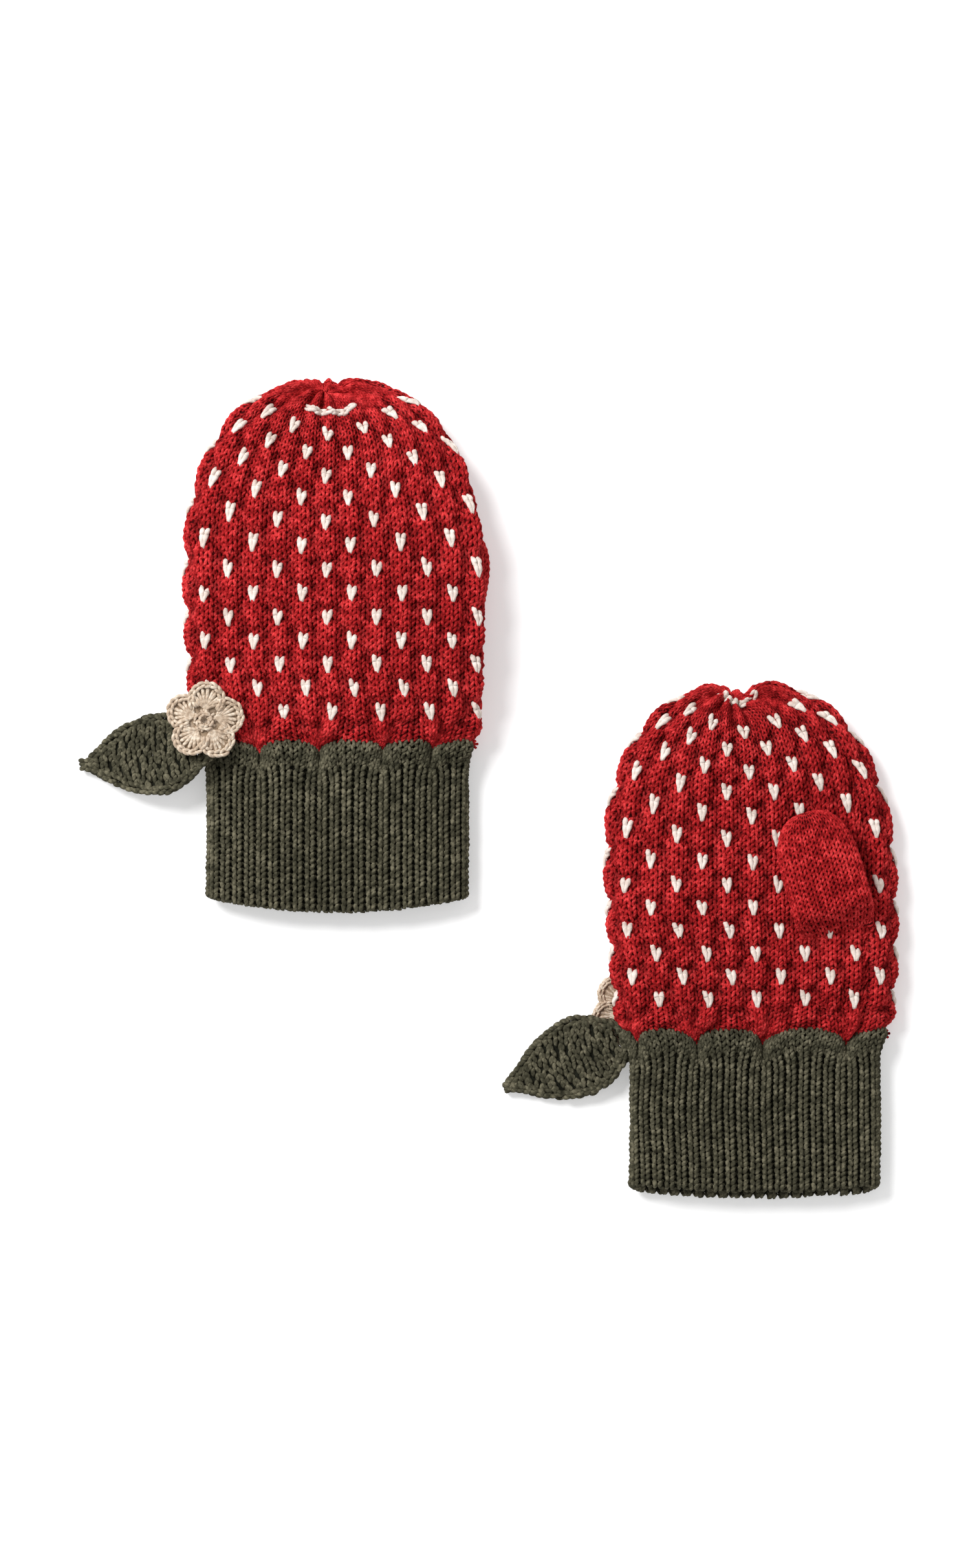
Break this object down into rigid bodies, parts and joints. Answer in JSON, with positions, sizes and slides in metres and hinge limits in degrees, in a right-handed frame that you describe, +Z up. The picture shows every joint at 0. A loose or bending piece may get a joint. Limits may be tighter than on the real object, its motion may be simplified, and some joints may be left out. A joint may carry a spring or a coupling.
{
  "type": "knitted mittens",
  "caption": "Pair of child's knitted mittens with ribbed cuffs, sewn-on crocheted flower and leaf, separate knitted thumbs, lying flat.",
  "frame": {"origin": "centre of the pair's outline on the surface they lie on", "axes": "+Z up from the surface, +Y towards the fingertips, +X towards the thumbs; left mitten back up at -X, right mitten palm up at +X"},
  "size_m": [0.2344, 0.2342, 0.0211],
  "materials": {
    "red_knit": "matte wool stockinette",
    "green_rib": "matte wool rib",
    "red_yarn": "matte wool yarn",
    "cream_yarn": "matte wool yarn",
    "beige_crochet": "matte wool crochet",
    "beige_yarn": "matte wool yarn",
    "green_crochet": "matte wool crochet",
    "green_yarn": "matte wool yarn"
  },
  "bodies": {
    "left_mitten": {"left_hand": "red_knit", "left_cuff": "green_rib", "left_thumb_pickup_stitches": "red_yarn", "left_heart_stitches": "cream_yarn", "left_side_seam": "red_yarn", "left_seam_yarn_end": "red_yarn", "left_fingertip_closing": "red_yarn", "left_flower": "beige_crochet", "left_flower_tack_stitches": "beige_yarn", "left_leaf_tack_stitch": "green_yarn"},
    "left_thumb": {"left_thumb": "red_knit"},
    "left_leaf": {"left_leaf": "green_crochet"},
    "right_mitten": {"right_hand": "red_knit", "right_cuff": "green_rib", "right_thumb_pickup_stitches": "red_yarn", "right_heart_stitches": "cream_yarn", "right_side_seam": "red_yarn", "right_seam_yarn_end": "red_yarn", "right_fingertip_closing": "red_yarn", "right_flower": "beige_crochet", "right_flower_tack_stitches": "beige_yarn", "right_leaf_tack_stitch": "green_yarn"},
    "right_thumb": {"right_thumb": "red_knit"},
    "right_leaf": {"right_leaf": "green_crochet"}
  },
  "joints": [
    {"name": "pair_slide", "type": "slide", "parent": "left_mitten", "child": "right_mitten", "axis": [1, 0, 0], "range_m": [0, 0.12]},
    {"name": "left_thumb_swing", "type": "hinge", "parent": "left_mitten", "child": "left_thumb", "pos_m": [-0.01299, 0.0495, 0.0037], "axis": [0, 0, 1], "range_deg": [-25, 35]},
    {"name": "left_leaf_swing", "type": "hinge", "parent": "left_mitten", "child": "left_leaf", "pos_m": [-0.08049, 0.0109, 0.0125], "axis": [0, 0, 1], "range_deg": [-25, 25]},
    {"name": "right_thumb_swing", "type": "hinge", "parent": "right_mitten", "child": "right_thumb", "pos_m": [0.09661, -0.0329, 0.01675], "axis": [0, 0, 1], "range_deg": [-48.5, 11.5]},
    {"name": "right_leaf_swing", "type": "hinge", "parent": "right_mitten", "child": "right_leaf", "pos_m": [0.03901, -0.0715, 0.0052], "axis": [0, 0, 1], "range_deg": [-25, 25]}
  ]
}
